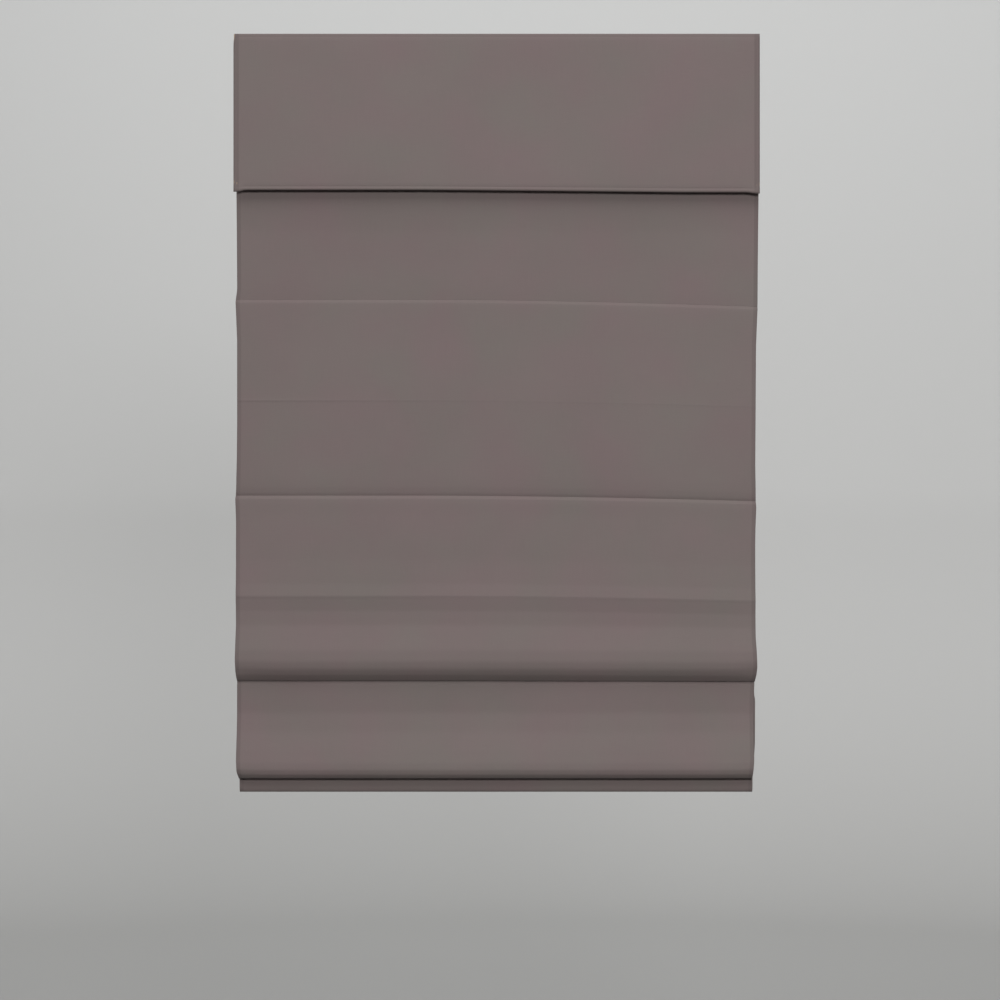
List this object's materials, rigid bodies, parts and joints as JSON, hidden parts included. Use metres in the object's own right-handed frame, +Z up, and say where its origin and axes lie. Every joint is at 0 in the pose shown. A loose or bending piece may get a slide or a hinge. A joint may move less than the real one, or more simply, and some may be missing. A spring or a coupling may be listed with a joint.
{
  "type": "cordless roman blind",
  "caption": "Flat-fronted cloth roman blind with a valance, hung from a metal headrail on wall brackets; battens, rings and a spring motor gather it upwards.",
  "frame": {"origin": "centre of the four wall holes of the two brackets, on the wall plane", "axes": "+Z up, +X to the right of someone looking at the blind, +Y into the wall"},
  "size_m": [0.889, 0.106, 1.2822],
  "materials": {
    "cloth": "plain fine weave in warm taupe, matte",
    "board": "thin hardboard",
    "rail_paint": "off-white powder coat",
    "bracket_paint": "off-white powder coat",
    "bar_paint": "grey paint",
    "cap_plastic": "moulded off-white",
    "clip_plastic": "moulded milky plastic",
    "case_plastic": "moulded white",
    "drum_plastic": "moulded grey",
    "ring_plastic": "smooth white",
    "spring_steel": "bright strip",
    "zinc_steel": "zinc plated",
    "rod_aluminium": "extruded",
    "batten_aluminium": "flat strip",
    "pocket_tape": "woven tape, matte",
    "hook_tape": "stiff hooked tape",
    "loop_tape": "soft looped tape",
    "cord": "braided polyester cord"
  },
  "bodies": {
    "headrail": {"headrail": "rail_paint", "end_cap_left": "cap_plastic", "end_cap_right": "cap_plastic", "wall_bracket_left": "bracket_paint", "wall_bracket_right": "bracket_paint", "mounting_clip_left": "spring_steel", "mounting_clip_right": "spring_steel", "clip_screws": "zinc_steel", "clip_nuts": "zinc_steel", "hook_tape": "hook_tape", "loop_tape": "loop_tape", "shade_fabric": "cloth", "valance_fabric": "cloth", "valance_board": "board", "valance_clip_left": "clip_plastic", "valance_clip_centre": "clip_plastic", "valance_clip_right": "clip_plastic", "lift_cradle_left": "case_plastic", "lift_cradle_centre": "case_plastic", "lift_cradle_right": "case_plastic", "lift_cord_left": "cord", "lift_cord_centre": "cord", "lift_cord_right": "cord", "cord_grommet_left": "cap_plastic", "cord_grommet_centre": "cap_plastic", "cord_grommet_right": "cap_plastic", "motor_base": "case_plastic", "motor_cover": "case_plastic", "power_spring": "spring_steel"},
    "lift_rod": {"lift_rod": "rod_aluminium", "output_drum": "drum_plastic", "lift_spool_left": "drum_plastic", "lift_spool_centre": "drum_plastic", "lift_spool_right": "drum_plastic", "cord_winding_left": "cord", "cord_winding_centre": "cord", "cord_winding_right": "cord"},
    "storage_drum": {"storage_drum": "drum_plastic"},
    "batten_1": {"batten_1": "batten_aluminium", "batten_pocket_1": "pocket_tape", "ring_row_1": "ring_plastic"},
    "batten_2": {"batten_2": "batten_aluminium", "batten_pocket_2": "pocket_tape", "ring_row_2": "ring_plastic"},
    "batten_3": {"batten_3": "batten_aluminium", "batten_pocket_3": "pocket_tape", "ring_row_3": "ring_plastic"},
    "batten_4": {"batten_4": "batten_aluminium", "batten_pocket_4": "pocket_tape", "ring_row_4": "ring_plastic", "bottom_bar": "bar_paint", "bar_cap_left": "cap_plastic", "bar_cap_right": "cap_plastic", "cord_bead_left": "ring_plastic", "cord_bead_centre": "ring_plastic", "cord_bead_right": "ring_plastic"}
  },
  "joints": [
    {"name": "raise", "type": "slide", "parent": "headrail", "child": "batten_1", "axis": [0, 0, 1], "range_m": [0, 0.389], "deforming": ["shade_fabric", "lift_cord_left", "lift_cord_centre", "lift_cord_right"]},
    {"name": "gather_2", "type": "slide", "parent": "batten_1", "child": "batten_2", "axis": [0, 0, 1], "range_m": [0, 0.307], "deforming": ["shade_fabric", "lift_cord_left", "lift_cord_centre", "lift_cord_right"]},
    {"name": "gather_3", "type": "slide", "parent": "batten_2", "child": "batten_3", "axis": [0, 0, 1], "range_m": [0, 0.266], "deforming": ["shade_fabric", "lift_cord_left", "lift_cord_centre", "lift_cord_right"]},
    {"name": "bottom_pleat", "type": "slide", "parent": "batten_3", "child": "batten_4", "axis": [0, 0, 1], "range_m": [-0.306, 0], "deforming": ["shade_fabric", "lift_cord_left", "lift_cord_centre", "lift_cord_right"]},
    {"name": "rod_spin", "type": "hinge", "parent": "headrail", "child": "lift_rod", "pos_m": [0, -0.0449, -0.009], "axis": [1, 0, 0], "range_deg": [-4681, 0]},
    {"name": "storage_spin", "type": "hinge", "parent": "headrail", "child": "storage_drum", "pos_m": [0, -0.0225, -0.009], "axis": [1, 0, 0], "range_deg": [0, 4681]}
  ],
  "couplings": [
    {"joint": "gather_2", "follows": "raise", "ratio": 0.7892},
    {"joint": "gather_3", "follows": "raise", "ratio": 0.6838},
    {"joint": "rod_spin", "follows": "raise", "rad_per_m": -209.58},
    {"joint": "storage_spin", "follows": "raise", "rad_per_m": 209.58}
  ]
}
